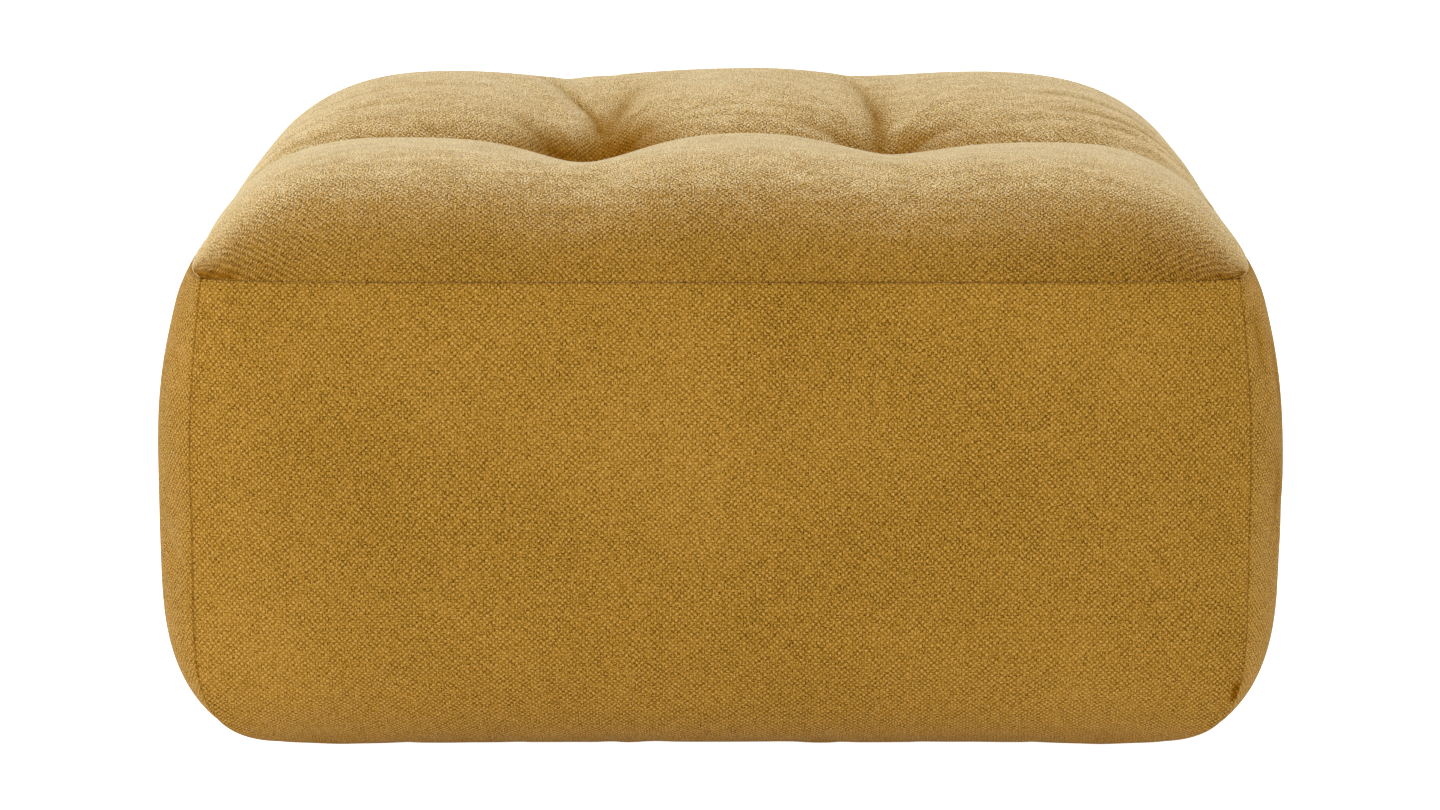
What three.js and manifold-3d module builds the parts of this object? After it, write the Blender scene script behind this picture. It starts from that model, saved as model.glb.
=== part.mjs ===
// A low square-cornered pouf in ochre chenille: a filled cushion with four bulging sides and a tufted top.
// Millimetres, +Z up. The width runs along X, the front faces -Y, and the pouf stands on z = 0 around the origin.
// One skin is shaped first. It is then cut along the seams, so each sewn panel is a solid with its own filling.

import * as THREE from 'three';
import { mergeVertices } from 'three/addons/utils/BufferGeometryUtils.js';
import Module from 'manifold-3d';

const wasm = await Module();
wasm.setup();

// The seam all round between the top and the sides, which lies level
const SEAM_WIDTH = 793;
const SEAM_DEPTH = 626;
const SEAM_HEIGHT = 376;
const SEAM_TUCK = 3;

// The sides: how far they bulge past the seam, the height of the fullest part, and how far they curl under
const SIDE_BULGE = 31;
const FRONT_BULGE = 18;
const BELLY_HEIGHT = 205;
const UPPER_ROUNDNESS = 2.5;
const SIDE_CURL = 168;
const FRONT_CURL = 152;
const CURL_START = 4.55;
const CURL_ROUNDNESS = 2.54;

// The corner seams: how far they lie inside the square corner, and how late the sides turn towards them
const CORNER_INSET_AT_SEAM = 16;
const CORNER_INSET_AT_BELLY = 36;
const CORNER_INSET_AT_FLOOR = 5;
const CORNER_TURN = 9;

// The top: the height of the left, middle and right pillows over the seam, in the front row and the back row,
// and how they blend into each other and round off to the seam
const FRONT_PILLOW_HEIGHTS = [79, 83, 75];
const BACK_PILLOW_HEIGHTS = [85.5, 87, 83.5];
const PILLOW_BLEND = 37;
const ROW_BLEND = 35;
const FRONT_REACH_ACROSS = 174;
const BACK_REACH_ACROSS = 221;
const CROWN_REACH_DEEP = 159;
const CROWN_POWER = 3.7;

// The valley between the two rows of pillows, with sharp sides that flatten out
const ROW_VALLEY_DEPTH = 59;
const ROW_VALLEY_WIDTH = 40;

// The tufts. Each is a deep dimple, and from it a valley runs to the front and to the back, where it leans
const TUFTS = [
  { x: -104, lean: -0.09, valley: 31, dimple: 50 },
  { x: 127, lean: 0, valley: 18, dimple: 42 },
];
const TUFT_VALLEY_WIDTH = 55;
const TUFT_VALLEY_LENGTH = 197;
const TUFT_VALLEY_POWER = 1.7;
const DIMPLE_WIDTH = 30;
const DIMPLE_POWER = 1.6;
const DEEPEST_PULL = 78;

// The cloth underneath, how far below the floor the skin starts before it is cut off flat there, and the
// clearance left where two panels are sewn together
const BASE_THICKNESS = 2.7;
const FLOOR_TRIM = 1;
const PANEL_GAP = 0.3;

// The steps of the skin: across each pillow, along each row, and down the sides
const STEPS_PER_PILLOW = 14;
const STEPS_PER_ROW = 16;
const STEPS_DOWN = 16;
const GATHERING = 0.5;

const CHENILLE = { color: 0xa8793a, roughness: 0.95, metalness: 0 };

const HALF_WIDTH = SEAM_WIDTH / 2;
const HALF_DEPTH = SEAM_DEPTH / 2;
const RIDGE = HALF_WIDTH - HALF_DEPTH;
const PAST_EVERYTHING = 600;

// How far a side stands out from the seam line at a height. It is full at the belly and curls under at the floor
function bulgeAt(height, bulge, curl) {
  if (height > BELLY_HEIGHT) {
    const towardsSeam = (height - BELLY_HEIGHT) / (SEAM_HEIGHT - BELLY_HEIGHT);
    return bulge * (1 - towardsSeam ** UPPER_ROUNDNESS);
  }
  const towardsFloor = 1 - height / BELLY_HEIGHT;
  const left = Math.max(1 - towardsFloor ** CURL_START, 0);
  return bulge - curl * (1 - left ** (1 / CURL_ROUNDNESS));
}

// The outline of the pouf at a height. Its corners stay on the mitre planes, where |x| - |y| = RIDGE
function outlineAt(height) {
  const halfWidth = HALF_WIDTH + bulgeAt(height, SIDE_BULGE, SIDE_CURL);
  const halfDepth = HALF_DEPTH + bulgeAt(height, FRONT_BULGE, FRONT_CURL);
  const fromMiddle = Math.abs((2 * height) / SEAM_HEIGHT - 1) ** 3;
  const insetAtEnd = height > SEAM_HEIGHT / 2 ? CORNER_INSET_AT_SEAM : CORNER_INSET_AT_FLOOR;
  const inset = CORNER_INSET_AT_BELLY + (insetAtEnd - CORNER_INSET_AT_BELLY) * fromMiddle;
  const cornerX = halfWidth - inset;
  return { halfWidth, halfDepth, cornerX, cornerY: cornerX - RIDGE };
}

// A point inside an outline, where u and v run from -1 to 1 across and along it
function pointIn(outline, u, v) {
  const x = u * (outline.halfWidth - (outline.halfWidth - outline.cornerX) * Math.abs(v) ** CORNER_TURN);
  const y = v * (outline.halfDepth - (outline.halfDepth - outline.cornerY) * Math.abs(u) ** CORNER_TURN);
  return { x, y };
}

function riseFromEdge(distance, reach) {
  const t = Math.min(distance / reach, 1);
  return 1 - (1 - t) ** CROWN_POWER;
}

// Runs smoothly from 0 to 1 as the value passes the middle
function stepUp(value, middle, blend) {
  return 1 / (1 + Math.exp((middle - value) / blend));
}

// The untufted height along a row, which runs smoothly from one pillow to the next
function rowHeight(x, [left, middle, right]) {
  const leftShare = 1 - stepUp(x, TUFTS[0].x, PILLOW_BLEND);
  const rightShare = stepUp(x, TUFTS[1].x, PILLOW_BLEND);
  return middle + (left - middle) * leftShare + (right - middle) * rightShare;
}

// How far the stitches pull the cover down, from the valley between the rows and the valleys through the tufts
function pullAt(x, y) {
  let pull = ROW_VALLEY_DEPTH * Math.exp(-Math.abs(y) / ROW_VALLEY_WIDTH);
  for (const tuft of TUFTS) {
    const valley = tuft.x + tuft.lean * Math.max(y, 0);
    const across = Math.exp(-((Math.abs(x - valley) / TUFT_VALLEY_WIDTH) ** TUFT_VALLEY_POWER));
    const along = Math.exp(-((y / TUFT_VALLEY_LENGTH) ** 2));
    const fromTuft = Math.hypot(x - tuft.x, y);
    const dimple = Math.exp(-((fromTuft / DIMPLE_WIDTH) ** DIMPLE_POWER));
    pull += tuft.valley * across * along + tuft.dimple * dimple;
  }
  return pull / (1 + (pull / DEEPEST_PULL) ** 4) ** 0.25;
}

function crownAt(u, v, x, y) {
  const backShare = stepUp(y, 0, ROW_BLEND);
  const reachAcross = FRONT_REACH_ACROSS + (BACK_REACH_ACROSS - FRONT_REACH_ACROSS) * backShare;
  const across = riseFromEdge(HALF_WIDTH * (1 - Math.abs(u)), reachAcross);
  const deep = riseFromEdge(HALF_DEPTH * (1 - Math.abs(v)), CROWN_REACH_DEEP);
  const frontHeight = rowHeight(x, FRONT_PILLOW_HEIGHTS);
  const height = frontHeight + (rowHeight(x, BACK_PILLOW_HEIGHTS) - frontHeight) * backShare;
  return across * deep * (height - pullAt(x, y));
}

// Moves an evenly spaced step so that the steps lie closer around each of the marks, such as a seam or a tuft
function gatherAround(marks, t) {
  const spans = marks.length - 1;
  const along = ((t + 1) / 2) * spans;
  const span = Math.min(Math.floor(along), spans - 1);
  const even = along - span;
  const eased = (1 - Math.cos(Math.PI * even)) / 2;
  const place = even + (eased - even) * GATHERING;
  return marks[span] + (marks[span + 1] - marks[span]) * place;
}

// Carries a point of a cube from -1 to 1 to its place on the skin of the pouf
function skinPoint(across, deep, up) {
  const u = gatherAround([-1, TUFTS[0].x / HALF_WIDTH, TUFTS[1].x / HALF_WIDTH, 1], across);
  const v = gatherAround([-1, 0, 1], deep);
  const onSide = Math.abs(u) === 1;
  const onFront = Math.abs(v) === 1;
  const onTop = up === 1;
  const height = up === -1 ? -FLOOR_TRIM : (SEAM_HEIGHT * (1 - Math.cos((Math.PI * (up + 1)) / 2))) / 2;
  const place = pointIn(outlineAt(height), u, v);
  const z = onTop && !onSide && !onFront ? SEAM_HEIGHT + crownAt(u, v, place.x, place.y) : height;
  const tuckX = onSide && (onTop || onFront) ? SEAM_TUCK : 0;
  const tuckY = onFront && (onTop || onSide) ? SEAM_TUCK : 0;
  return [place.x - Math.sign(u) * tuckX, place.y - Math.sign(v) * tuckY, z];
}

function solidOf(geometry) {
  geometry.deleteAttribute('normal');
  geometry.deleteAttribute('uv');
  const merged = mergeVertices(geometry, 1e-4);
  return new wasm.Manifold(new wasm.Mesh({
    numProp: 3,
    vertProperties: merged.attributes.position.array,
    triVerts: Uint32Array.from(merged.index.array),
  }));
}

function skinSolid() {
  const geometry = new THREE.BoxGeometry(2, 2, 2, 3 * STEPS_PER_PILLOW, 2 * STEPS_PER_ROW, STEPS_DOWN);
  const position = geometry.attributes.position;
  for (let i = 0; i < position.count; i += 1) {
    position.setXYZ(i, ...skinPoint(position.getX(i), position.getY(i), position.getZ(i)));
  }
  return solidOf(geometry);
}

// An upright cutter with the given outline in plan
function cutter(corners, bottom, top) {
  const shape = new THREE.Shape(corners.map(([x, y]) => new THREE.Vector2(x, y)));
  const geometry = new THREE.ExtrudeGeometry(shape, { depth: top - bottom, bevelEnabled: false });
  geometry.translate(0, 0, bottom);
  return solidOf(geometry);
}

// The share of one side in plan, between the mitre planes of its two corner seams and drawn back for the clearance
function sideOutline(toX, toY) {
  const inner = Math.abs(toX) > 0 ? [[toX * RIDGE, 0]] : [[RIDGE, 0], [-RIDGE, 0]];
  const reach = PAST_EVERYTHING - RIDGE;
  const outer = [
    [-(RIDGE + reach), reach],
    [RIDGE + reach, reach],
  ].map(([x, y]) => (toX === 0 ? [x, y * toY] : [PAST_EVERYTHING * toX, (x > 0 ? reach : -reach) * toX]));
  const back = PANEL_GAP / Math.SQRT2;
  return [...inner, ...outer].map(([x, y]) => [x + toX * back, y + toY * back]);
}

// A named mesh whose own origin is at the given height, where the panel is sewn to its neighbours
function panelMesh(name, solid, originHeight) {
  const mesh = solid.getMesh();
  const geometry = new THREE.BufferGeometry();
  geometry.setAttribute('position', new THREE.BufferAttribute(mesh.vertProperties, 3));
  geometry.setIndex(new THREE.BufferAttribute(mesh.triVerts, 1));
  geometry.translate(0, 0, -originHeight);
  geometry.computeVertexNormals();
  const panel = new THREE.Mesh(geometry, new THREE.MeshStandardMaterial(CHENILLE));
  panel.name = name;
  panel.position.z = originHeight;
  return panel;
}

const pouf = new THREE.Group();
const skin = skinSolid();
const wholePlan = [
  [-PAST_EVERYTHING, -PAST_EVERYTHING],
  [PAST_EVERYTHING, -PAST_EVERYTHING],
  [PAST_EVERYTHING, PAST_EVERYTHING],
  [-PAST_EVERYTHING, PAST_EVERYTHING],
];

const topCutter = cutter(wholePlan, SEAM_HEIGHT + PANEL_GAP / 2, PAST_EVERYTHING);
pouf.add(panelMesh('top_panel', skin.intersect(topCutter), SEAM_HEIGHT));

const SIDES = [
  { name: 'front_panel', toX: 0, toY: -1 },
  { name: 'right_panel', toX: 1, toY: 0 },
  { name: 'back_panel', toX: 0, toY: 1 },
  { name: 'left_panel', toX: -1, toY: 0 },
];
for (const { name, toX, toY } of SIDES) {
  const sideCutter = cutter(sideOutline(toX, toY), BASE_THICKNESS + PANEL_GAP, SEAM_HEIGHT - PANEL_GAP / 2);
  pouf.add(panelMesh(name, skin.intersect(sideCutter), BASE_THICKNESS));
}

const baseCutter = cutter(wholePlan, 0, BASE_THICKNESS);
pouf.add(panelMesh('base_panel', skin.intersect(baseCutter), 0));

export default pouf;
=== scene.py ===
import bmesh
import bpy
import numpy as np
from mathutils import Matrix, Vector, noise


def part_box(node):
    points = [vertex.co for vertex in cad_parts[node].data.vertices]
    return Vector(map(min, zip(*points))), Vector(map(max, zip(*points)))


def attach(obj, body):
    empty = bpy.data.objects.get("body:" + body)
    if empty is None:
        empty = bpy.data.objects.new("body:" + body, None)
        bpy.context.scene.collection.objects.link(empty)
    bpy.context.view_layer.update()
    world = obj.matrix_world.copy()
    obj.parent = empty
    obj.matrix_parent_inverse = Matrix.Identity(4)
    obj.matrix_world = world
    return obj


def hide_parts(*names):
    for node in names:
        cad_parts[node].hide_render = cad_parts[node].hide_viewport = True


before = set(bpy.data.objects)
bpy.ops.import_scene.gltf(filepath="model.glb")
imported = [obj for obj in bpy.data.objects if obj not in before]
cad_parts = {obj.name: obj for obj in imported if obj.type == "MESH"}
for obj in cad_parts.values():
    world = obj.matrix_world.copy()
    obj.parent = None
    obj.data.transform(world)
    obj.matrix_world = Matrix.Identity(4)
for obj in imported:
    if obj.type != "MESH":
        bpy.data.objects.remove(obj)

bl_info = {
    "name": "Chenille pouf",
    "version": (1, 0, 0),
    "blender": (4, 5, 0),
    "location": "View3D > Sidebar > Pouf",
    "description": "Makes a tufted chenille pouf panel by panel, with a small studio around it",
    "category": "Object",
}

MM = 0.001

# Clearance between two panels where they are sewn together
SEAM_GAP = 0.3 * MM

# How far a thread of the weave strays from its straight line, and how far the whole cloth is drawn askew
THREAD_WANDER = 2.6 * MM
CLOTH_SKEW = 12 * MM

# The sides: how far they bulge past the top seam, how far they curl under at the floor, and the roundness of both
SIDE_BULGE = 31 * MM
FRONT_BULGE = 18 * MM
SIDE_CURL = 168 * MM
FRONT_CURL = 152 * MM
BELLY_HEIGHT = 205 * MM
UPPER_ROUNDNESS = 2.5
CURL_START = 4.55
CURL_ROUNDNESS = 2.54

# The corner seams: how far they lie inside the square corner, how late that changes towards the top seam and the
# floor, and how late the sides turn towards them
CORNER_INSET_AT_SEAM = 16 * MM
CORNER_INSET_AT_BELLY = 36 * MM
CORNER_INSET_AT_FLOOR = 5 * MM
CORNER_INSET_POWER = 3
CORNER_TURN = 9

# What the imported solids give: the seam round the top, and the cloth of the base
SEAM_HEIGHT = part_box("top_panel")[0].z - SEAM_GAP / 2
HALF_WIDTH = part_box("right_panel")[1].x - SIDE_BULGE
HALF_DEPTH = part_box("back_panel")[1].y - FRONT_BULGE
BASE_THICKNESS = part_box("base_panel")[1].z
RIDGE = HALF_WIDTH - HALF_DEPTH

# The two tufts. Each is a deep dimple, and from it a valley runs to the front and to the back, where it leans. All
# pulls together stay under the deepest one, and the sharper that limit is, the later it sets in
# A tuft's shade is how dark the painted shade around it lies
TUFTS = [
    {"x": -104 * MM, "lean": -0.09, "valley": 31 * MM, "dimple": 50 * MM, "shade": 1.1},
    {"x": 127 * MM, "lean": 0.0, "valley": 18 * MM, "dimple": 42 * MM, "shade": 0.22},
]
TUFT_VALLEY_WIDTH = 55 * MM
TUFT_VALLEY_LENGTH = 197 * MM
TUFT_VALLEY_POWER = 1.7
DIMPLE_WIDTH = 30 * MM
DIMPLE_POWER = 1.6
DEEPEST_PULL = 78 * MM
DEEPEST_PULL_SHARPNESS = 4
ROW_VALLEY_WIDTH = 40 * MM

# The pillows, left, middle and right, in the front row and the back row, and how they round off to the seam
FRONT_PILLOW_HEIGHTS = [79 * MM, 83 * MM, 75 * MM]
BACK_PILLOW_HEIGHTS = [85.5 * MM, 87 * MM, 83.5 * MM]
PILLOW_BLEND = 37 * MM
ROW_BLEND = 35 * MM
FRONT_REACH_ACROSS = 174 * MM
BACK_REACH_ACROSS = 214 * MM
CROWN_REACH_DEEP = 159 * MM
CROWN_POWER = 3.7

# How much tighter the back pillows are filled than the front ones
TIGHTER_BACK = 0.55

# How slack a side lies, as a share of the top's slackness, how it swells up the side, and how late it ends at a corner
SIDE_SLACK = 1.3
SIDE_SLACK_SWELL = 0.7
SIDE_SLACK_CORNER = 4

# Steps of the cloth before it is subdivided, and how far they gather around tufts, valleys and seams, from 0 to 1
TOP_STEPS = (168, 116)
LONG_SIDE_STEPS = (150, 84)
SHORT_SIDE_STEPS = (118, 84)
BASE_STEPS = (60, 44)
GATHERING = 0.5

# The curve of a side is measured in this many steps, which lie closer towards the floor, where it curls most
CURVE_STEPS = 4000
CURVE_CROWDING = 3

# The cloth settles over its filling in this many steps. It grows by a share of its size and moves no further than
# the reach
SETTLING_STEPS = 20
SETTLING_REACH = 3 * MM
SETTLING_CLOTH = {
    "quality": 5,
    "mass": 0.3,
    "tension_stiffness": 15,
    "compression_stiffness": 15,
    "shear_stiffness": 5,
    "bending_stiffness": 5,
    "use_pressure": True,
    "vertex_group_mass": "held",
    "shrink_min": -0.004,
}

# How far from a tuft, from the row valley and from the rim of a panel the cloth is held while it settles
TUFT_HOLD = 12 * MM
ROW_VALLEY_HOLD = 4 * MM
TOP_RIM_HOLD = 14 * MM
SIDE_RIM_HOLD = 4 * MM

# The lumps of the filling: how large they are, and where in the noise the top and the first side take theirs
TOP_LUMPS = 90 * MM
SIDE_LUMPS = 110 * MM
TOP_LUMP_SEED = 3
FIRST_SIDE_LUMP_SEED = 10

# Behind its cloth the top narrows to this share of its width and depth, and the left and the right side to an edge
TOP_BACK_SHARE = 0.5
SIDE_EDGE_SHARE = 0.001

# A fold is followed in this many points. It sets in part of the way through its swell, and falls off on both flanks
FOLD_POINTS = 40
FOLD_ONSET = 0.12
FOLD_SWELL = 0.7
FOLD_FLANK = 1.5

# Folds of the top, in millimetres on its plan: three points that lead each one, its half width, how far it is
# drawn in, or raised where that is negative, and how dark its painted shade lies, or how pale its painted highlight
# where that is negative. The first seven run out behind the left tuft and the next five behind the right one, and
# then come three short ones before each. The rest are the long thin arcs behind the front row, the soft ones on the
# outer pillows, the two ends of the row valley, four where the outer pillows are filled more or less, and the
# puckers at the two front corners
TOP_FOLDS = [
    {"route": [(-98, 74), (-108, 132), (-160, 214)], "width": 4, "depth": 3, "shade": 0.65},
    {"route": [(-112, 56), (-126, 122), (-178, 200)], "width": 9, "depth": -3.5, "shade": -0.2},
    {"route": [(-118, 30), (-142, 64), (-196, 66)], "width": 12, "depth": 1.4, "shade": 0.35},
    {"route": [(-112, 36), (-124, 70), (-150, 98)], "width": 7, "depth": -2.5, "shade": -0.1},
    {"route": [(-92, 26), (-74, 56), (-40, 58)], "width": 9, "depth": 1.8, "shade": 0.35},
    {"route": [(-86, 60), (-70, 90), (-40, 104)], "width": 8, "depth": -2, "shade": 0},
    {"route": [(-92, 60), (-80, 110), (-66, 168)], "width": 18, "depth": 2.2, "shade": 0.55},
    {"route": [(128, 34), (136, 92), (104, 190)], "width": 9, "depth": 3.5, "shade": 0.7},
    {"route": [(140, 26), (160, 52), (206, 50)], "width": 9, "depth": 2.5, "shade": 0.4},
    {"route": [(116, 24), (100, 50), (60, 54)], "width": 8, "depth": 2, "shade": 0.3},
    {"route": [(140, 44), (160, 88), (206, 112)], "width": 9, "depth": -2.5, "shade": -0.1},
    {"route": [(112, 56), (96, 84), (70, 110)], "width": 9, "depth": -2, "shade": 0},
    {"route": [(-106, -16), (-112, -44), (-124, -70)], "width": 7, "depth": 2.5, "shade": 0.3},
    {"route": [(-92, -16), (-78, -32), (-58, -40)], "width": 7, "depth": 2.5, "shade": 0.3},
    {"route": [(-120, -12), (-140, -24), (-164, -28)], "width": 7, "depth": 2.5, "shade": 0.3},
    {"route": [(129, -16), (134, -42), (146, -66)], "width": 7, "depth": 2.5, "shade": 0.3},
    {"route": [(142, -12), (160, -24), (182, -28)], "width": 7, "depth": 2, "shade": 0.25},
    {"route": [(114, -14), (98, -28), (78, -34)], "width": 7, "depth": 2, "shade": 0.25},
    {"route": [(-56, 50), (18, 55), (98, 47)], "width": 3, "depth": 1, "shade": 0.45},
    {"route": [(-40, 64), (30, 72), (92, 64)], "width": 4, "depth": 0.8, "shade": 0.2},
    {"route": [(370, 112), (310, 134), (244, 118)], "width": 7, "depth": 2, "shade": 0.5},
    {"route": [(384, 88), (322, 84), (258, 72)], "width": 6, "depth": 2.2, "shade": 0.6},
    {"route": [(388, 64), (310, 62), (226, 52)], "width": 5, "depth": 1.6, "shade": 0.5},
    {"route": [(-356, 66), (-290, 96), (-206, 76)], "width": 9, "depth": 1.5, "shade": 0.15},
    {"route": [(-336, 118), (-262, 144), (-182, 116)], "width": 9, "depth": 1.5, "shade": 0.15},
    {"route": [(-396, 40), (-346, 48), (-276, 44)], "width": 15, "depth": 1.5, "shade": 0.7},
    {"route": [(396, 38), (346, 46), (276, 42)], "width": 13, "depth": 1.5, "shade": 0.6},
    {"route": [(-356, -80), (-360, 60), (-346, 200)], "width": 30, "depth": -2.2, "shade": 0},
    {"route": [(-262, 40), (-268, 120), (-258, 200)], "width": 24, "depth": 1.4, "shade": 0},
    {"route": [(344, -40), (350, 60), (336, 190)], "width": 26, "depth": -1.4, "shade": 0},
    {"route": [(262, 50), (270, 130), (260, 210)], "width": 26, "depth": 1.8, "shade": 0},
    {"route": [(-386, -302), (-391, -288), (-393, -262)], "width": 7, "depth": 0, "shade": 0.7},
    {"route": [(-391, -297), (-378, -301), (-352, -304)], "width": 6, "depth": 1.2, "shade": 1},
    {"route": [(364, -309), (374, -306), (383, -299)], "width": 6, "depth": 1.5, "shade": 1.8},
    {"route": [(382, -303), (386, -290), (388, -272)], "width": 5, "depth": -2, "shade": 0.5},
]

# The same for the sides, along each one and up it. The seam gapes a little low on the right corner of the front,
# with painted shade in the gap. The left and the right side stand fuller under the top seam and are tucked in above
# the floor, and the right one has shallow creases with painted shade along its front corner
FRONT_FOLDS = [
    {"route": [(386, 70), (385, 63), (383, 54)], "width": 3.5, "depth": 1.2, "shade": 2.2},
]
RIGHT_FOLDS = [
    {"route": [(-280, 352), (0, 358), (280, 352)], "width": 20, "depth": -1.6, "shade": 0},
    {"route": [(-290, 26), (0, 26), (290, 26)], "width": 14, "depth": 1.5, "shade": 0},
    {"route": [(-290, 350), (-284, 326), (-288, 296)], "width": 5, "depth": 1, "shade": 0.7},
    {"route": [(-262, 318), (-252, 290), (-258, 256)], "width": 8, "depth": 1, "shade": 0.6},
    {"route": [(-274, 236), (-262, 206), (-270, 172)], "width": 7, "depth": 1, "shade": 0.6},
    {"route": [(-236, 196), (-222, 166), (-230, 120)], "width": 10, "depth": 1, "shade": 0.4},
]
LEFT_FOLDS = [
    {"route": [(-280, 352), (0, 358), (280, 352)], "width": 20, "depth": -2, "shade": 0},
    {"route": [(-290, 26), (0, 26), (290, 26)], "width": 14, "depth": 3, "shade": 0},
]

# The four sides, with the way that each one faces
SIDES = [
    {"name": "front", "to": (0, -1), "folds": FRONT_FOLDS},
    {"name": "right", "to": (1, 0), "folds": RIGHT_FOLDS},
    {"name": "back", "to": (0, 1), "folds": []},
    {"name": "left", "to": (-1, 0), "folds": LEFT_FOLDS},
]

# How wide the painted shade of a tuft, of the rim and of a corner reaches, and how dark each is painted. Behind the
# front pillows a painted highlight makes the cloth paler. A corner seam is painted darker than the seam round the top.
# The row valley and the curl at the floor get painted shade too
TUFT_SHADE_WIDTH = 72 * MM
RIM_SHADE_WIDTH = 34 * MM
RIM_SHADE = 0.18
CORNER_SHADE_WIDTH = 60 * MM
CORNER_SHADE = 0.62
PALE_ROW = 50 * MM
PALE_ROW_WIDTH = 26 * MM
PALE_ROW_SHADE = -0.4
VALLEY_SHADE_WIDTH = 14 * MM
VALLEY_SHADE = 0.45
TOP_SEAM_SHADE = 0.3
CORNER_SEAM_SHADE = 0.5
FLOOR_SHADE_HEIGHT = 30 * MM
FLOOR_SHADE = 0.05

# The weave: the power that flattens its knots, the turn of the pile at which it starts to fade and is faded, and how
# much of it is lost there for a full share of painted sheen
KNOT_FLATNESS = 0.6
WEAVE_FADE_START = 0.45
WEAVE_FADE_END = 0.95
WEAVE_FADE = 0.4

# The painted sheen: how late it sets in as the pile turns away, and how much of it is painted on the top and on the
# sides, where the top's larger share stands in for light from above
PAINTED_SHEEN_ONSET = 1.7
TOP_PAINTED_SHEEN = 2.05
SIDE_PAINTED_SHEEN = 0.1

# The fitted camera, in millimetres, and the place it looks at, in metres
SENSOR_WIDTH = 36
LENS = 103.43
TARGET = Vector((-0.0003, 0, 0.2151))

# How brightly the world and the floor light the pouf, while the camera sees both as white, and half the floor's width
WORLD_GLOW = 0.79
FLOOR_GLOW = 0.27
FLOOR_SIZE = 30


def srgb(code):
    """A colour of six hex digits as linear red, green, blue and full opacity."""
    parts = [int(code[i : i + 2], 16) / 255 for i in (0, 2, 4)]
    linear = [c / 12.92 if c <= 0.04045 else ((c + 0.055) / 1.055) ** 2.4 for c in parts]
    return (*linear, 1.0)


class PoufShape(bpy.types.PropertyGroup):
    """Sizes of the sewn form that a maker would change"""

    row_valley_depth: bpy.props.FloatProperty(
        name="Row valley depth",
        description="How deep the valley between the front and the back pillows is drawn in",
        default=59 * MM,
        unit="LENGTH",
    )
    seam_tuck: bpy.props.FloatProperty(
        name="Seam tuck",
        description="How far the cloth is drawn in along a seam",
        default=0.5 * MM,
        unit="LENGTH",
    )
    seam_roll: bpy.props.FloatProperty(
        name="Seam roll",
        description="How far from a seam the cloth starts to turn in towards it",
        default=5 * MM,
        unit="LENGTH",
    )
    settling_pressure: bpy.props.FloatProperty(
        name="Settling pressure",
        description="How hard the filling presses against a panel while it settles",
        default=4,
    )
    slackness: bpy.props.FloatProperty(
        name="Slackness",
        description="How far the cloth lies inside its final form before the filling presses it out",
        default=2.8 * MM,
        unit="LENGTH",
    )
    unevenness: bpy.props.FloatProperty(
        name="Unevenness",
        description="How far the filling pushes the cloth out here and there",
        default=1.2 * MM,
        unit="LENGTH",
    )


class ChenilleFinish(bpy.types.PropertyGroup):
    """The finish of the woven cloth"""

    thread_pitch: bpy.props.FloatProperty(
        name="Thread pitch",
        description="Distance from one chenille thread to the next",
        default=2.25 * MM,
        unit="LENGTH",
        precision=5,
    )
    cloth_colour: bpy.props.FloatVectorProperty(
        name="Cloth colour",
        description="The middle colour of the cloth seen straight on",
        default=srgb("ad7e29"),
        size=4,
        min=0,
        max=1,
        subtype="COLOR",
    )
    # The middle colour of the painted sheen
    painted_sheen_colour: bpy.props.FloatVectorProperty(
        name="Bloom colour",
        description="The middle colour of the pale bloom where the pile turns away",
        default=srgb("fbd382"),
        size=4,
        min=0,
        max=1,
        subtype="COLOR",
    )
    sheen: bpy.props.FloatProperty(
        name="Sheen",
        description="Strength of the soft shine of the pile where it turns away",
        default=0.32,
        min=0,
        max=1,
        subtype="FACTOR",
    )


class StudioLight(bpy.types.PropertyGroup):
    """The camera and the soft light around the pouf"""

    camera_distance: bpy.props.FloatProperty(
        name="Camera distance",
        description="From the camera to the middle of the pouf",
        default=3.352,
        unit="LENGTH",
    )
    camera_elevation: bpy.props.FloatProperty(
        name="Camera elevation",
        description="How far above the level of its target the camera looks from",
        default=np.radians(12.55),
        subtype="ANGLE",
    )
    key_power: bpy.props.FloatProperty(
        name="Key light",
        description="Power of the large soft light at the upper left",
        default=30,
        unit="POWER",
    )


# The form of the pouf. Heights and places are arrays, one value for each point of the cloth


def bulge_at(height, bulge, curl):
    """How far a side stands out from the seam line at a height."""
    towards_seam = np.clip((height - BELLY_HEIGHT) / (SEAM_HEIGHT - BELLY_HEIGHT), 0, 1)
    towards_floor = np.clip(1 - height / BELLY_HEIGHT, 0, 1)
    left = np.maximum(1 - towards_floor**CURL_START, 0)
    upper = bulge * (1 - towards_seam**UPPER_ROUNDNESS)
    lower = bulge - curl * (1 - left ** (1 / CURL_ROUNDNESS))
    return np.where(height > BELLY_HEIGHT, upper, lower)


def outline_at(height):
    """Half the width and depth of the pouf at a height, and the place of its corner seams."""
    half_width = HALF_WIDTH + bulge_at(height, SIDE_BULGE, SIDE_CURL)
    half_depth = HALF_DEPTH + bulge_at(height, FRONT_BULGE, FRONT_CURL)
    from_middle = abs(2 * height / SEAM_HEIGHT - 1) ** CORNER_INSET_POWER
    at_end = np.where(height > SEAM_HEIGHT / 2, CORNER_INSET_AT_SEAM, CORNER_INSET_AT_FLOOR)
    inset = CORNER_INSET_AT_BELLY + (at_end - CORNER_INSET_AT_BELLY) * from_middle
    corner_x = half_width - inset
    return half_width, half_depth, corner_x, corner_x - RIDGE


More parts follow.
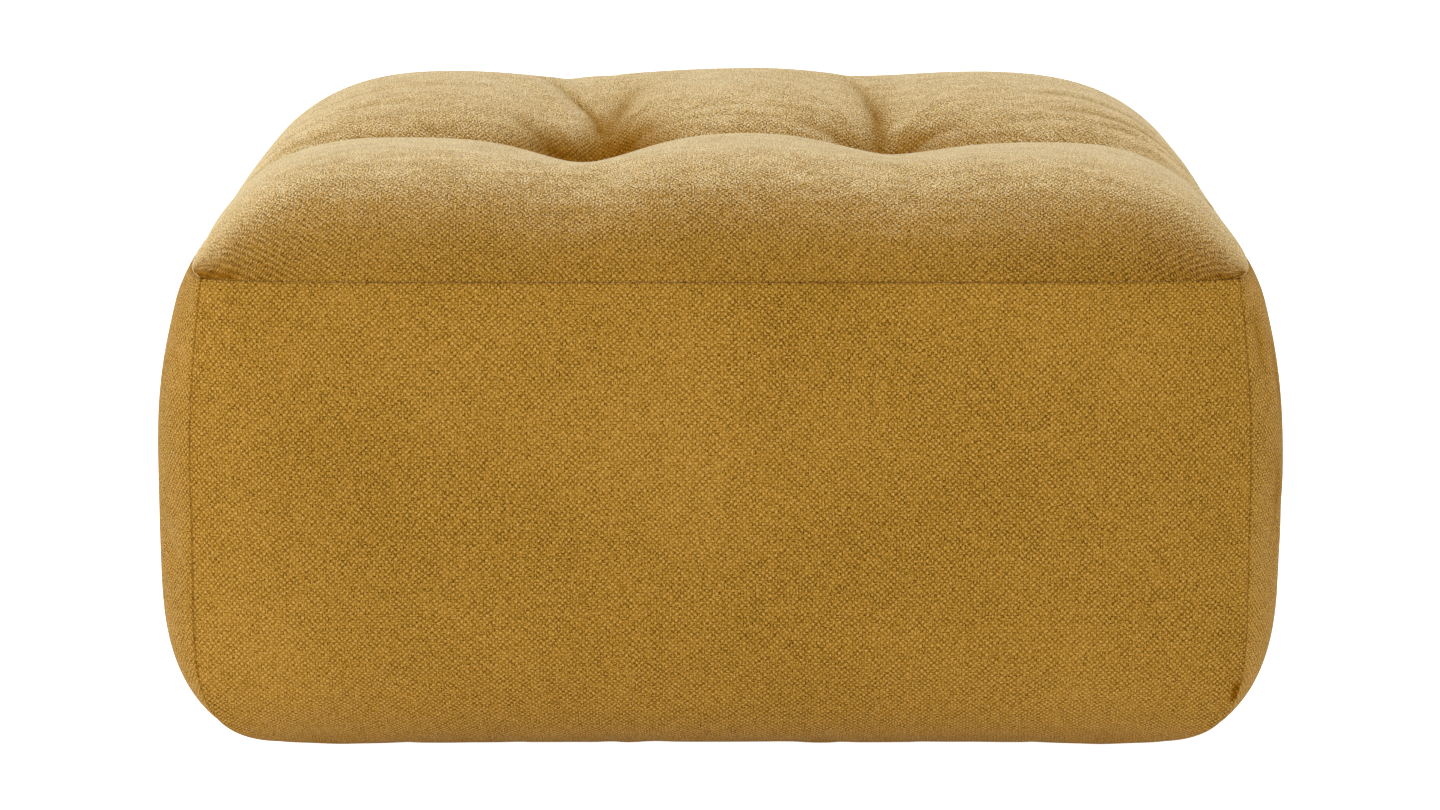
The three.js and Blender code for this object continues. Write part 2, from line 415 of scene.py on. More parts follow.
def plan_places(u, v, height):
    """Places on the plan of the pouf at a height, where u and v run from -1 to 1 across and along it."""
    half_width, half_depth, corner_x, corner_y = outline_at(height)
    x = u * (half_width - (half_width - corner_x) * abs(v) ** CORNER_TURN)
    y = v * (half_depth - (half_depth - corner_y) * abs(u) ** CORNER_TURN)
    return x, y


def rise_from_edge(distance, reach):
    """Runs from 0 at an edge to 1 at the reach and beyond, steeply at first."""
    return 1 - (1 - np.minimum(distance / reach, 1)) ** CROWN_POWER


def step_up(value, middle, blend):
    """Runs smoothly from 0 to 1 as value passes the middle."""
    return 1 / (1 + np.exp((middle - value) / blend))


def pillow_height(x, heights):
    """The height of a row of three pillows across the pouf."""
    left, middle, right = heights
    left_share = 1 - step_up(x, TUFTS[0]["x"], PILLOW_BLEND)
    right_share = step_up(x, TUFTS[1]["x"], PILLOW_BLEND)
    return middle + (left - middle) * left_share + (right - middle) * right_share


def pull_at(x, y, row_valley_depth):
    """How far the stitches pull the cover down."""
    pull = row_valley_depth * np.exp(-abs(y) / ROW_VALLEY_WIDTH)
    for tuft in TUFTS:
        valley = tuft["x"] + tuft["lean"] * np.maximum(y, 0)
        across = np.exp(-((abs(x - valley) / TUFT_VALLEY_WIDTH) ** TUFT_VALLEY_POWER))
        along = np.exp(-((y / TUFT_VALLEY_LENGTH) ** 2))
        from_tuft = np.hypot(x - tuft["x"], y)
        dimple = np.exp(-((from_tuft / DIMPLE_WIDTH) ** DIMPLE_POWER))
        pull = pull + tuft["valley"] * across * along + tuft["dimple"] * dimple
    return pull / (1 + (pull / DEEPEST_PULL) ** DEEPEST_PULL_SHARPNESS) ** (1 / DEEPEST_PULL_SHARPNESS)


def roll_in(distance, shape):
    """How far the cloth turns in at a distance from its seam."""
    return shape.seam_tuck * np.clip(1 - distance / shape.seam_roll, 0, 1) ** 2


def top_places(u, v, shape):
    """The places of the top cover, where u and v run from -1 to 1 across and along it."""
    x, y = plan_places(u, v, SEAM_HEIGHT)
    from_side = HALF_WIDTH * (1 - abs(u))
    from_front = HALF_DEPTH * (1 - abs(v))
    back_share = step_up(y, 0, ROW_BLEND)
    reach = FRONT_REACH_ACROSS + (BACK_REACH_ACROSS - FRONT_REACH_ACROSS) * back_share
    front_height = pillow_height(x, FRONT_PILLOW_HEIGHTS)
    height = front_height + (pillow_height(x, BACK_PILLOW_HEIGHTS) - front_height) * back_share
    slack = shape.slackness * (1 - TIGHTER_BACK * back_share)
    crown = rise_from_edge(from_side, reach) * rise_from_edge(from_front, CROWN_REACH_DEEP)
    z = SEAM_HEIGHT + SEAM_GAP / 2 + crown * (height - slack - pull_at(x, y, shape.row_valley_depth))
    x = x - np.sign(u) * roll_in(from_side, shape) * abs(u)
    y = y - np.sign(v) * roll_in(from_front, shape) * abs(v)
    return np.stack([x, y, z], axis=-1)


def side_places(across, height, side, shape):
    """The places of one side, where across runs from -1 to 1 from corner to corner."""
    half_width, half_depth, corner_x, corner_y = outline_at(height)
    if side["to"][0]:
        out, corner_out, corner_along = half_width, corner_x, corner_y
    else:
        out, corner_out, corner_along = half_depth, corner_y, corner_x
    from_corner = roll_in(corner_along * (1 - abs(across)), shape)
    from_seam = roll_in(SEAM_HEIGHT - height, shape)
    turn_in = np.maximum(from_corner, from_seam)
    swell = np.sin(np.pi * height / SEAM_HEIGHT) * (1 - across**SIDE_SLACK_CORNER)
    slack = SIDE_SLACK * shape.slackness * swell**SIDE_SLACK_SWELL
    outward = out - (out - corner_out) * abs(across) ** CORNER_TURN - turn_in - slack
    along = across * (corner_along - SEAM_GAP) - np.sign(across) * turn_in * abs(across) ** CORNER_TURN
    to_x, to_y = side["to"]
    return np.stack([outward * to_x - along * to_y, outward * to_y + along * to_x, height], axis=-1)


def gathered(count, marks):
    """Steps from the first mark to the last that lie closer together around each mark."""
    spans = len(marks) - 1
    along = np.linspace(0, spans, count + 1)
    span = np.minimum(along.astype(int), spans - 1)
    even = along - span
    eased = (1 - np.cos(np.pi * even)) / 2
    place = even + (eased - even) * GATHERING
    marks = np.array(marks)
    return marks[span] + (marks[span + 1] - marks[span]) * place


def even_heights(count):
    """Heights of evenly spaced rows of cloth, from the base up to the top seam."""
    low = BASE_THICKNESS + SEAM_GAP
    high = SEAM_HEIGHT - SEAM_GAP / 2
    fine = low + (high - low) * np.linspace(0, 1, CURVE_STEPS) ** CURVE_CROWDING
    out = bulge_at(fine, SIDE_BULGE, SIDE_CURL)
    along = np.concatenate([[0], np.cumsum(np.hypot(np.diff(out), np.diff(fine)))])
    return np.interp(np.linspace(0, along[-1], count + 1), along, fine)


def new_cloth(steps):
    """A flat grid of cloth of so many steps across and up."""
    bm = bmesh.new()
    bmesh.ops.create_grid(bm, x_segments=steps[0], y_segments=steps[1], size=1)
    bm.verts.ensure_lookup_table()
    return bm


def put(bm, places):
    """Moves each point of a grid of cloth to its place."""
    for vert, place in zip(bm.verts, places.reshape(-1, 3)):
        vert.co = place


def lay_threads(bm, places):
    """Maps the cloth in metres along its own threads, so that a weave keeps its scale on every curve."""
    across = np.linalg.norm(np.diff(places, axis=1), axis=-1)
    up = np.linalg.norm(np.diff(places, axis=0), axis=-1)
    u = np.pad(np.cumsum(across, axis=1), ((0, 0), (1, 0)))
    v = np.pad(np.cumsum(up, axis=0), ((1, 0), (0, 0)))
    u -= u[:, u.shape[1] // 2][:, None]
    v -= v[v.shape[0] // 2, :][None, :]
    u, v = u.ravel(), v.ravel()
    layer = bm.loops.layers.uv.new("threads")
    for face in bm.faces:
        for loop in face.loops:
            loop[layer].uv = (u[loop.vert.index], v[loop.vert.index])


def close_inside(bm, inner_place):
    """Closes a panel behind its cloth: its rim is drawn inwards, and the small opening left there is filled. Extruding
    makes the faces in another order each time, so they are then put in the order of their points."""
    cloth_faces = len(bm.faces)
    rim = [edge for edge in bm.edges if edge.is_boundary]
    made = bmesh.ops.extrude_edge_only(bm, edges=rim)["geom"]
    for vert in made:
        if isinstance(vert, bmesh.types.BMVert):
            vert.co = inner_place(vert.co)
    inner = [edge for edge in made if isinstance(edge, bmesh.types.BMEdge) and edge.is_boundary]
    bmesh.ops.contextual_create(bm, geom=inner)
    bmesh.ops.recalc_face_normals(bm, faces=bm.faces)
    bm.verts.index_update()
    bm.faces.index_update()

    def order(face):
        if face.index < cloth_faces:
            return face.index
        first, second = sorted(vert.index for vert in face.verts)[:2]
        return cloth_faces + first * len(bm.verts) + second

    bm.faces.sort(key=order)


def to_object(bm, name):
    """Makes a smooth object from a bmesh, which is freed."""
    mesh = bpy.data.meshes.new(name)
    bm.to_mesh(mesh)
    bm.free()
    for polygon in mesh.polygons:
        polygon.use_smooth = True
    piece = bpy.data.objects.new(name, mesh)
    bpy.context.scene.collection.objects.link(piece)
    return piece


def round_off(piece):
    """Rounds the open cloth off with one subdivision, and gives it back as a bmesh."""
    modifier = piece.modifiers.new("rounding", "SUBSURF")
    modifier.levels = 1
    modifier.render_levels = 1
    rounded = piece.evaluated_get(bpy.context.evaluated_depsgraph_get())
    bm = bmesh.new()
    bm.from_mesh(rounded.to_mesh())
    rounded.to_mesh_clear()
    piece.modifiers.clear()
    return bm


def hold(distance, reach):
    """How firmly the cloth is held: fully up to the reach, and not at all beyond twice the reach."""
    return np.clip(2 - distance / reach, 0, 1)


def settled(places, held, pressure):
    """Lets the cloth of a panel settle over its filling, on every second thread of its grid. The points that are
    held stay where they are, and no point moves further than the reach."""
    every_place = places
    places, held = places[::2, ::2], held[::2, ::2]
    rows, columns = places.shape[:2]
    bm = new_cloth((columns - 1, rows - 1))
    put(bm, places)
    piece = to_object(bm, "settling")
    start = points_of(piece.data)
    group = piece.vertex_groups.new(name="held")
    for index, weight in enumerate(held.ravel()):
        if weight > 0:
            group.add([index], float(weight), "REPLACE")
    modifier = piece.modifiers.new("settling", "CLOTH")
    cloth = modifier.settings
    for name, value in SETTLING_CLOTH.items():
        setattr(cloth, name, value)
    cloth.uniform_pressure_force = pressure
    cloth.effector_weights.gravity = 0
    modifier.collision_settings.use_collision = False
    for step in range(1, SETTLING_STEPS + 1):
        bpy.context.scene.frame_set(step)
    result = piece.evaluated_get(bpy.context.evaluated_depsgraph_get())
    moved = points_of(result.data) - start
    bpy.context.scene.frame_set(1)
    mesh = piece.data
    bpy.data.objects.remove(piece)
    bpy.data.meshes.remove(mesh)
    length = np.linalg.norm(moved, axis=1, keepdims=True)
    moved *= SETTLING_REACH * np.tanh(length / SETTLING_REACH) / np.maximum(length, 1e-9)
    return every_place + doubled(moved.reshape(places.shape))


def doubled(coarse):
    """Values at twice the steps both ways, with the mean of its neighbours at each new one."""
    fine = np.empty((2 * coarse.shape[0] - 1, 2 * coarse.shape[1] - 1, coarse.shape[2]))
    fine[::2, ::2] = coarse
    fine[1::2, ::2] = (coarse[:-1] + coarse[1:]) / 2
    fine[:, 1::2] = (fine[:, :-1:2] + fine[:, 2::2]) / 2
    return fine


def points_of(mesh):
    """The places of all points of a mesh."""
    places = np.empty(len(mesh.vertices) * 3, dtype=np.float32)
    mesh.vertices.foreach_get("co", places)
    return places.reshape(-1, 3).astype(float)


def along_route(route):
    """Points along a smooth curve from the first to the last of three points, drawn towards the second."""
    start, bend, end = (np.array(point) * MM for point in route)
    t = np.linspace(0, 1, FOLD_POINTS)[:, None]
    return (1 - t) ** 2 * start + 2 * t * (1 - t) * bend + t**2 * end


def folded(flat, folds):
    """How deep the folds draw in each point of the cloth, whose place is given on the flat, and how dark the painted
    shade of the folds lies there.
    """
    depth, shade = np.zeros(len(flat)), np.zeros(len(flat))
    for fold in folds:
        route = along_route(fold["route"])
        away = np.linalg.norm(flat[:, None, :] - route[None, :, :], axis=-1)
        along = away.argmin(axis=1) / (len(route) - 1)
        strength = np.sin(np.pi * (FOLD_ONSET + (1 - FOLD_ONSET) * along)) ** FOLD_SWELL
        across = np.exp(-((away.min(axis=1) / (fold["width"] * MM)) ** FOLD_FLANK))
        depth += fold["depth"] * MM * strength * across
        shade += fold["shade"] * strength * across
    return depth, shade


def top_shade(flat):
    """The painted shade of the top around its tufts, along its rim, at its corners and in the row valley, less a
    painted highlight behind the front pillows.
    """
    x, y = flat.T
    shade = PALE_ROW_SHADE * np.exp(-(((y - PALE_ROW) / PALE_ROW_WIDTH) ** 2))
    for tuft in TUFTS:
        from_tuft = np.hypot(x - tuft["x"], y)
        near = np.exp(-((from_tuft / TUFT_SHADE_WIDTH) ** 3))
        shade = shade * (1 - near) + tuft["shade"] * near
    shade += VALLEY_SHADE * np.exp(-((y / VALLEY_SHADE_WIDTH) ** 2))
    from_side, from_front = HALF_WIDTH - abs(x), HALF_DEPTH - abs(y)
    shade += RIM_SHADE * np.exp(-((np.minimum(from_side, from_front) / RIM_SHADE_WIDTH) ** 2))
    return shade + CORNER_SHADE * np.exp(-((np.hypot(from_side, from_front) / CORNER_SHADE_WIDTH) ** 2))


def side_shade(height):
    """The painted shade of a side where it curls under towards the floor."""
    return FLOOR_SHADE * np.exp(-height / FLOOR_SHADE_HEIGHT)


def uneven(places, size, height, seed):
    """Soft lumps of the filling, of about the given size across and height."""
    return np.array([noise.noise(Vector(place) / size + Vector((seed, 0, 0))) for place in places]) * height


def sewn_panel(name, places, inner_place, draw_in):
    """A panel of cloth through the places, rounded off, drawn in along its folds, and closed behind around its
    filling. draw_in gives the depth of folds and lumps for an array of places, and the painted shade there, which the
    panel keeps as the attribute drawn. The seams and the hidden faces behind them are given painted shade as well."""
    rows, columns = places.shape[:2]
    bm = new_cloth((columns - 1, rows - 1))
    put(bm, places)
    lay_threads(bm, places)
    piece = to_object(bm, name)
    bm = round_off(piece)
    bm.normal_update()
    depths, shades = draw_in(np.array([vert.co for vert in bm.verts]))
    drawn = bm.verts.layers.float.new("drawn")
    for vert, depth, shade in zip(bm.verts, depths, shades):
        # The seams are given painted shade, darker at the corners than round the top
        if vert.is_boundary:
            vert[drawn] = TOP_SEAM_SHADE if vert.co.z > SEAM_HEIGHT - 2 * SEAM_GAP else CORNER_SEAM_SHADE
        else:
            vert[drawn] = shade
            vert.co -= vert.normal * depth
    outside = len(bm.verts)
    close_inside(bm, inner_place)
    bm.verts.ensure_lookup_table()
    # The hidden faces that show through a seam are given full painted shade
    for vert in bm.verts[outside:]:
        vert[drawn] = 1
    bm.to_mesh(piece.data)
    bm.free()
    return piece


def add_node(tree, kind, links=None, **settings):
    """Adds a node with its settings, and links or sets its inputs, which are given by name or number."""
    node = tree.nodes.new(kind)
    for name, value in settings.items():
        setattr(node, name, value)
    for name, value in (links or {}).items():
        if isinstance(value, bpy.types.NodeSocket):
            tree.links.new(value, node.inputs[name])
        else:
            node.inputs[name].default_value = value
    return node


def chenille(name, finish, painted_sheen_share):
    """Chenille: soft cut-pile yarn in a plain weave. The eye gets small knots of pile where the threads cross, dark
    ochre specks between them, partly painted shade, brushed clouds, a pale painted sheen where the pile turns away,
    and a deep ochre painted shade where the cloth is drawn in and wherever the attribute drawn asks for it. The share
    says how much painted sheen a panel shows; the top's far larger share stands in for light from above."""
    material = bpy.data.materials.new(name)
    material.use_nodes = True
    tree = material.node_tree
    tree.nodes.clear()
    threads = add_node(tree, "ShaderNodeUVMap", uv_map="threads").outputs["UV"]
    drawn = add_node(tree, "ShaderNodeAttribute", attribute_name="drawn").outputs["Fac"]

    # Five noises, each so many millimetres across and up the cloth, with its detail and roughness: cloth drawn askew,
    # threads that stray, the fuzz of the yarn, brushed clouds, and pile stroked sideways
    askew, stray, fuzz, brushed, stroked = [
        add_node(
            tree,
            "ShaderNodeTexNoise",
            {
                "Vector": add_node(
                    tree,
                    "ShaderNodeVectorMath",
                    {0: threads, 1: (1 / (across * MM), 1 / (up * MM), 0)},
                    operation="MULTIPLY",
                ).outputs[0],
                "Scale": 1,
                "Detail": detail,
                "Roughness": roughness,
            },
            noise_dimensions="2D",
        ).outputs
        for across, up, detail, roughness in [
            (160, 160, 1, 0.5),
            (8, 8, 3, 0.6),
            (1.1, 1.1, 1, 0.6),
            (250, 250, 4, 0.5),
            (34, 13, 6, 0.88),
        ]
    ]
    fuzz, brushed, stroked = fuzz["Fac"], brushed["Fac"], stroked["Fac"]

    # The threads are counted along and up the cloth, and a knot lies wherever two of them cross
    place = threads
    for sway, reach in [(askew, CLOTH_SKEW), (stray, THREAD_WANDER)]:
        centred = add_node(tree, "ShaderNodeVectorMath", {0: sway["Color"], 1: (0.5,) * 3}, operation="SUBTRACT")
        place = add_node(
            tree,
            "ShaderNodeVectorMath",
            {0: centred.outputs[0], 1: (reach,) * 3, 2: place},
            operation="MULTIPLY_ADD",
        ).outputs[0]
    counted = add_node(
        tree, "ShaderNodeVectorMath", {0: place, "Scale": 1 / finish.thread_pitch}, operation="SCALE"
    ).outputs[0]
    knot = add_node(tree, "ShaderNodeVectorMath", {0: counted}, operation="FLOOR").outputs[0]
    chance = add_node(tree, "ShaderNodeTexWhiteNoise", {"Vector": knot}, noise_dimensions="2D").outputs["Value"]

    # Where the pile turns away it hides the weave
    facing = add_node(tree, "ShaderNodeLayerWeight", {"Blend": 0.5}).outputs["Facing"]
    turned = add_node(tree, "ShaderNodeMath", {0: facing, 1: PAINTED_SHEEN_ONSET}, operation="POWER").outputs[0]
    crossing = add_node(
        tree,
        "ShaderNodeMapRange",
        {
            "Value": facing,
            "From Min": WEAVE_FADE_START,
            "From Max": WEAVE_FADE_END,
            "To Min": 1,
            "To Max": 1 - painted_sheen_share * WEAVE_FADE,
        },
    ).outputs["Result"]
    for count in add_node(tree, "ShaderNodeSeparateXYZ", {"Vector": counted}).outputs[:2]:
        angle = add_node(tree, "ShaderNodeMath", {0: count, 1: np.pi}, operation="MULTIPLY").outputs[0]
        wave = add_node(tree, "ShaderNodeMath", {0: angle}, operation="SINE").outputs[0]
        crossing = add_node(tree, "ShaderNodeMath", {0: wave, 1: crossing}, operation="MULTIPLY").outputs[0]
    size = add_node(tree, "ShaderNodeMath", {0: crossing}, operation="ABSOLUTE").outputs[0]
    raised = add_node(tree, "ShaderNodeMath", {0: size, 1: KNOT_FLATNESS}, operation="POWER").outputs[0]

    # Two lightnesses from these, each a weight times what a value has over its middle: the cloth seen straight on,
    # with its weave, whose dark between the knots is partly painted shade, and the painted sheen, where the pile hides
    # the weave
    lightness = []
    for weights in [
        [(crossing, 0, 0.29), (raised, 0.6, 0.3), (chance, 0.5, 0.21), (fuzz, 0.5, 1.3), (brushed, 0.5, 0.3)],
        [
            (crossing, 0, 0.3),
            (raised, 0.6, 0.2),
            (chance, 0.5, 0.4),
            (fuzz, 0.5, 3.4),
            (brushed, 0.5, 0.4),
            (stroked, 0.5, 1.1),
            (turned, 0.56, 0.6),
        ],
    ]:
        light = 0.5
        for value, middle, weight in weights:
            over = add_node(tree, "ShaderNodeMath", {0: value, 1: middle}, operation="SUBTRACT").outputs[0]
            light = add_node(
                tree, "ShaderNodeMath", {0: over, 1: weight, 2: light}, operation="MULTIPLY_ADD"
            ).outputs[0]
        lightness.append(light)
    colours = []
    # The first ramp runs from the dark between the knots, partly painted shade, to the pale knots; the second holds
    # the colours of the painted sheen
    for light, dark, middle, pale in [
        (lightness[0], srgb("4a2d03"), finish.cloth_colour, srgb("d6a657")),
        (lightness[1], srgb("a5741f"), finish.painted_sheen_colour, srgb("fff4ce")),
    ]:
        ramp = add_node(tree, "ShaderNodeValToRGB", {"Fac": light})
        ramp.color_ramp.elements[0].color = dark
        ramp.color_ramp.elements[1].color = pale
        ramp.color_ramp.elements.new(0.5).color = middle
        colours.append(ramp.outputs["Color"])

    # Four sums from these, each a start and what a value adds by its weight: the patches of the painted sheen, how
    # raggedly painted shade takes the painted sheen away, how raggedly painted shade darkens the cloth, and the relief
    sums = []
    for total, weights in [
        (-3.9, [(stroked, 3), (fuzz, 6.9)]),
        (0.35, [(stroked, 1.6)]),
        (-0.87, [(stroked, 1.5), (fuzz, 1.5)]),
        (0.0, [(raised, 0.7), (crossing, 0.2), (fuzz, 1.6)]),
    ]:
        for value, weight in weights:
            total = add_node(
                tree, "ShaderNodeMath", {0: value, 1: weight, 2: total}, operation="MULTIPLY_ADD"
            ).outputs[0]
        sums.append(total)
    patchy, pressed, ragged_painted_shade, relief = sums

    # The painted sheen grows as the pile turns away, in stroked patches, and is taken away where painted shade lies,
    # or painted paler still where the attribute drawn is below zero
    sheen_cut_by_shade = add_node(tree, "ShaderNodeMath", {0: pressed, 1: drawn}, operation="MULTIPLY").outputs[0]
    sheen_left_by_shade = add_node(tree, "ShaderNodeMath", {0: 1.0, 1: sheen_cut_by_shade}, operation="SUBTRACT").outputs[0]
    bloom = painted_sheen_share
    for share in [turned, patchy, sheen_left_by_shade]:
        bloom = add_node(tree, "ShaderNodeMath", {0: share, 1: bloom}, operation="MULTIPLY").outputs[0]
    bloom = add_node(tree, "ShaderNodeClamp", {"Value": bloom}).outputs[0]
    sheen = add_node(
        tree, "ShaderNodeMath", {0: sheen_left_by_shade, 1: finish.sheen * painted_sheen_share}, operation="MULTIPLY", use_clamp=True
    ).outputs[0]
    colour = add_node(
        tree, "ShaderNodeMix", {"Factor": bloom, 6: colours[0], 7: colours[1]}, data_type="RGBA"
    ).outputs[2]
    # Painted shade: where the attribute drawn asks for it, the colour is multiplied raggedly towards a deep ochre
    depth = add_node(tree, "ShaderNodeMath", {0: drawn, 1: ragged_painted_shade}, operation="MULTIPLY", use_clamp=True).outputs[0]
    colour = add_node(
        tree,
        "ShaderNodeMix",
        {"Factor": depth, 6: colour, 7: srgb("c8a700")},
        data_type="RGBA",
        blend_type="MULTIPLY",
    ).outputs[2]

    bump = add_node(tree, "ShaderNodeBump", {"Height": relief, "Distance": 0.8 * MM, "Strength": 0.8})
    shader = add_node(
        tree,
        "ShaderNodeBsdfPrincipled",
        {
            "Base Color": colour,
            "Normal": bump.outputs["Normal"],
            "Roughness": 0.95,
            "IOR": 1.45,
            "Specular IOR Level": 0.03,
            "Sheen Weight": sheen,
            "Sheen Roughness": 0.3,
            "Sheen Tint": srgb("ffe8c4"),
        },
    )
    add_node(tree, "ShaderNodeOutputMaterial", {"Surface": shader.outputs[0]})
    return material


def lining():
    """Lining: thin pressed cloth under the pouf. The eye gets a plain dull brown with a fine fleck."""
    material = bpy.data.materials.new("lining")
    material.use_nodes = True
    tree = material.node_tree
    threads = add_node(tree, "ShaderNodeUVMap", uv_map="threads").outputs["UV"]
    fleck = add_node(tree, "ShaderNodeTexNoise", {"Vector": threads, "Scale": 1 / (2 * MM)}, noise_dimensions="2D")
    colour = add_node(
        tree, "ShaderNodeMix", {"Factor": fleck.outputs["Fac"], 6: srgb("4d3c22"), 7: srgb("7d6540")}, data_type="RGBA"
    )
    shader = tree.nodes["Principled BSDF"]
    tree.links.new(colour.outputs[2], shader.inputs["Base Color"])
    shader.inputs["Roughness"].default_value = 0.95
    shader.inputs["Specular IOR Level"].default_value = 0.1
    return material


def the_chenille(context, name, painted_sheen_share):
    """One roll of cloth, with a strong painted sheen on the top, standing in for light from above, and a faint one on
    the sides.
    """
    found = bpy.data.materials.get(name)
    return found or chenille(name, context.scene.chenille_finish, painted_sheen_share)


def finish_piece(piece, material, node):
    """Gives a piece its material, hangs it under the root body, and hides the solid it stands for."""
    piece.data.materials.append(material)
    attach(piece, "root")
    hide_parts(node)


class POUF_OT_top(bpy.types.Operator):
    """Make the tufted top cover with its six pillows"""

    bl_idname = "pouf.top"
    bl_label = "Tufted top"

    def execute(self, context):
        shape = context.scene.pouf_shape
        tuft_marks = [tuft["x"] / HALF_WIDTH for tuft in TUFTS]
        u, v = np.meshgrid(gathered(TOP_STEPS[0], [-1, *tuft_marks, 1]), gathered(TOP_STEPS[1], [-1, 0, 1]))
        places = top_places(u, v, shape)
        near_tuft = [np.hypot(places[..., 0] - tuft["x"], places[..., 1]) for tuft in TUFTS]
        held = np.max(
            [
                hold(np.minimum(*near_tuft), TUFT_HOLD),
                hold(abs(places[..., 1]), ROW_VALLEY_HOLD),
                hold(HALF_WIDTH * (1 - abs(u)), TOP_RIM_HOLD),
                hold(HALF_DEPTH * (1 - abs(v)), TOP_RIM_HOLD),
            ],
            axis=0,
        )

        def inner(place):
            return Vector((place.x * TOP_BACK_SHARE, place.y * TOP_BACK_SHARE, place.z))

        def draw_in(points):
            flat = points[:, :2]
            depth, shade = folded(flat, TOP_FOLDS)
            return depth + uneven(points, TOP_LUMPS, shape.unevenness, TOP_LUMP_SEED), shade + top_shade(flat)

        places = settled(places, held, shape.settling_pressure)
        piece = sewn_panel("top_cover", places, inner, draw_in)
        # The top gets the strong painted sheen that stands in for light from above
        finish_piece(piece, the_chenille(context, "chenille top with strong painted sheen", TOP_PAINTED_SHEEN), "top_panel")
        return {"FINISHED"}


class POUF_OT_sides(bpy.types.Operator):
    """Make the four filled sides"""

    bl_idname = "pouf.sides"
    bl_label = "Filled sides"

    def execute(self, context):
        shape = context.scene.pouf_shape
        for seed, side in enumerate(SIDES, FIRST_SIDE_LUMP_SEED):
            to_x, to_y = side["to"]
            steps = SHORT_SIDE_STEPS if to_x else LONG_SIDE_STEPS
            across, height = np.meshgrid(gathered(steps[0], [-1, 1]), even_heights(steps[1]))
            places = side_places(across, height, side, shape)
            half_width, half_depth, _, _ = outline_at(height)
            from_corner = (half_depth if to_x else half_width) * (1 - abs(across))
            from_rim = np.minimum(from_corner, np.minimum(height, SEAM_HEIGHT - height))
            places = settled(places, hold(from_rim, SIDE_RIM_HOLD), shape.settling_pressure)

            def inner(place, to_x=to_x, to_y=to_y):
                if to_x:
                    return Vector((to_x * (RIDGE + SEAM_GAP), place.y * SIDE_EDGE_SHARE, place.z))
                return Vector((place.x * (RIDGE / HALF_WIDTH), to_y * SEAM_GAP, place.z))

            def draw_in(points, seed=seed, folds=side["folds"], along=1 if to_x else 0):
                depth, shade = folded(points[:, [along, 2]], folds)
                depth += uneven(points, SIDE_LUMPS, shape.unevenness, seed)
                return depth, shade + side_shade(points[:, 2])

            piece = sewn_panel(f"{side['name']}_side", places, inner, draw_in)
            # The sides get only a faint painted sheen
            material = the_chenille(context, "chenille side with faint painted sheen", SIDE_PAINTED_SHEEN)
            finish_piece(piece, material, f"{side['name']}_panel")
        return {"FINISHED"}


class POUF_OT_base(bpy.types.Operator):
    """Make the flat cloth under the pouf"""

    bl_idname = "pouf.base"
    bl_label = "Base cloth"

    def execute(self, context):
        bm = new_cloth(BASE_STEPS)
        u, v = np.meshgrid(*[np.linspace(-1, 1, steps + 1) for steps in BASE_STEPS])
        x, y = plan_places(u, v, 0.0)
        places = np.stack([x, y, np.zeros_like(x)], axis=-1)
        put(bm, places)
        lay_threads(bm, places)
        low_width, low_depth, _, _ = outline_at(0.0)
        wide, deep, _, _ = outline_at(BASE_THICKNESS)

        def upper(place):
            return Vector((place.x * wide / low_width, place.y * deep / low_depth, BASE_THICKNESS))

        close_inside(bm, upper)
        piece = to_object(bm, "base_cloth")
        finish_piece(piece, lining(), "base_panel")
        return {"FINISHED"}


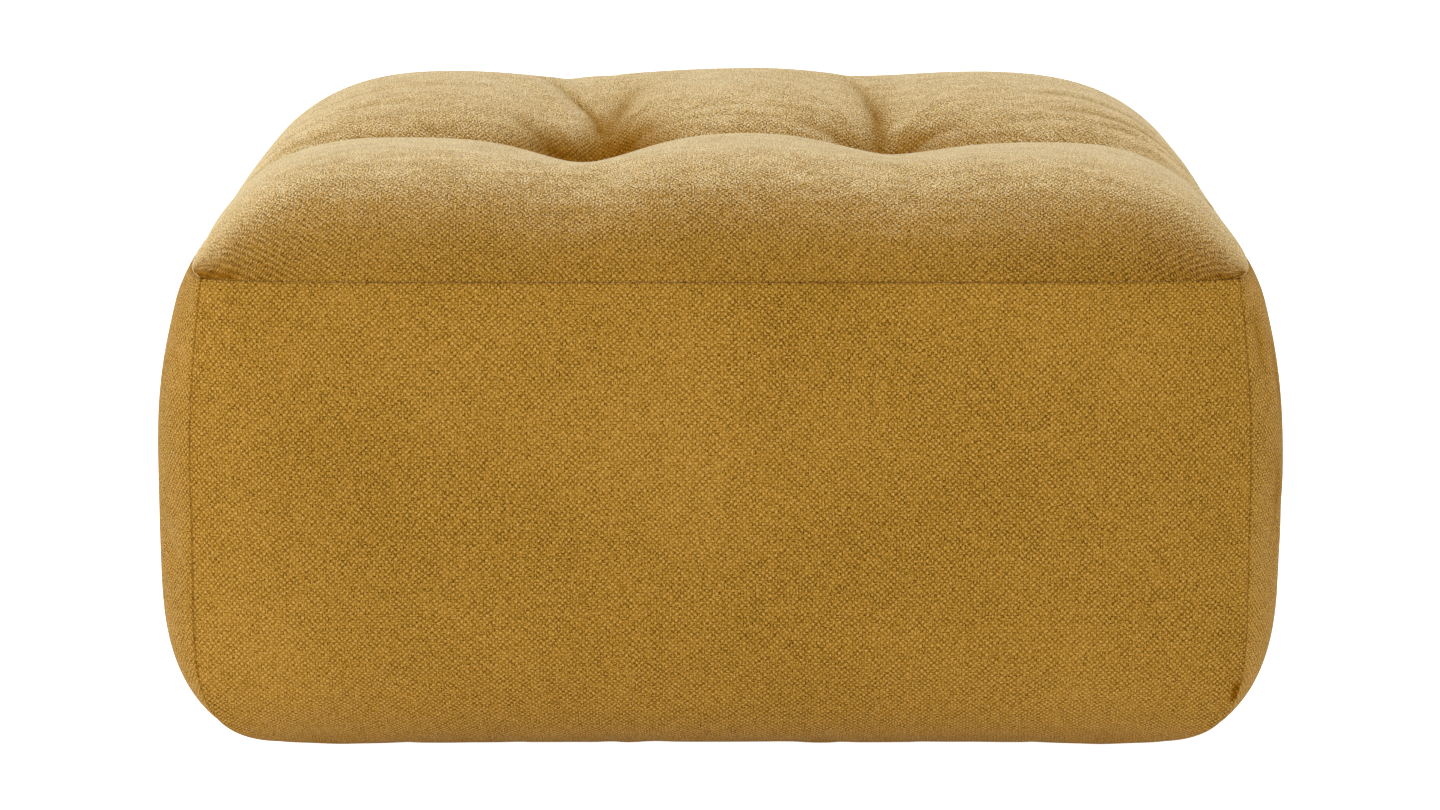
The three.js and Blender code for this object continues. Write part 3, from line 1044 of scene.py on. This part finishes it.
class POUF_OT_studio(bpy.types.Operator):
    """Make the pale floor, the soft lights and the camera"""

    bl_idname = "pouf.studio"
    bl_label = "Studio"

    def execute(self, context):
        light = context.scene.studio_light
        scene = context.scene
        scene.view_settings.view_transform = "Standard"
        world = bpy.data.worlds.new("studio")
        world.use_nodes = True
        background = world.node_tree.nodes["Background"]
        background.inputs["Color"].default_value = srgb("ffffff")
        scene.world = world

        bm = bmesh.new()
        bmesh.ops.create_grid(bm, x_segments=1, y_segments=1, size=FLOOR_SIZE)
        floor = to_object(bm, "floor")
        white = bpy.data.materials.new("white backdrop paper")
        white.use_nodes = True
        shader = white.node_tree.nodes["Principled BSDF"]
        shader.inputs["Base Color"].default_value = srgb("efefef")
        shader.inputs["Roughness"].default_value = 0.9
        shader.inputs["Specular IOR Level"].default_value = 0
        shader.inputs["Emission Color"].default_value = srgb("ffffff")
        floor.data.materials.append(white)

        for tree, glow, lit in [
            (world.node_tree, WORLD_GLOW, background.inputs["Strength"]),
            (white.node_tree, FLOOR_GLOW, shader.inputs["Emission Strength"]),
        ]:
            seen = add_node(tree, "ShaderNodeLightPath").outputs["Is Camera Ray"]
            strength = add_node(tree, "ShaderNodeMapRange", {"Value": seen, "To Min": glow, "To Max": 1.0})
            tree.links.new(strength.outputs["Result"], lit)

        for name, place, size, power in [
            ("key", (-2.3, -2.35, 2.4), 2.0, light.key_power),
            ("fill", (0, -3.0, 0.3), 1.6, 6.8),
            ("side", (-3.0, 0.2, 1.0), 2.0, 21),
            ("far side", (3.0, 0.2, 0.7), 2.0, 13),
        ]:
            lamp = bpy.data.lights.new(name, "AREA")
            lamp.size = size
            lamp.energy = power
            stand = bpy.data.objects.new(name, lamp)
            stand.location = place
            stand.rotation_euler = (TARGET - Vector(place)).to_track_quat("-Z", "Y").to_euler()
            scene.collection.objects.link(stand)

        camera = bpy.data.cameras.new("camera")
        camera.sensor_width = SENSOR_WIDTH
        camera.lens = LENS
        holder = bpy.data.objects.new("camera", camera)
        back = Vector((0, -np.cos(light.camera_elevation), np.sin(light.camera_elevation)))
        holder.location = TARGET + back * light.camera_distance
        holder.rotation_euler = (-back).to_track_quat("-Z", "Y").to_euler()
        scene.collection.objects.link(holder)
        scene.camera = holder
        return {"FINISHED"}


class POUF_PT_panel(bpy.types.Panel):
    """Lists the steps of making the pouf"""

    bl_label = "Pouf"
    bl_idname = "POUF_PT_panel"
    bl_space_type = "VIEW_3D"
    bl_region_type = "UI"
    bl_category = "Pouf"

    def draw(self, context):
        for step in STEPS:
            self.layout.operator(step.bl_idname)


GROUPS = {"pouf_shape": PoufShape, "chenille_finish": ChenilleFinish, "studio_light": StudioLight}
STEPS = [POUF_OT_studio, POUF_OT_top, POUF_OT_sides, POUF_OT_base]


def register():
    for kind in [*GROUPS.values(), *STEPS, POUF_PT_panel]:
        bpy.utils.register_class(kind)
    for name, group in GROUPS.items():
        setattr(bpy.types.Scene, name, bpy.props.PointerProperty(type=group))


def unregister():
    for name in GROUPS:
        delattr(bpy.types.Scene, name)
    for kind in [POUF_PT_panel, *STEPS, *GROUPS.values()]:
        bpy.utils.unregister_class(kind)


def main():
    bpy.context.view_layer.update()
    register()
    bpy.ops.pouf.studio()
    bpy.ops.pouf.top()
    bpy.ops.pouf.sides()
    bpy.ops.pouf.base()


if __name__ == "__main__":
    main()
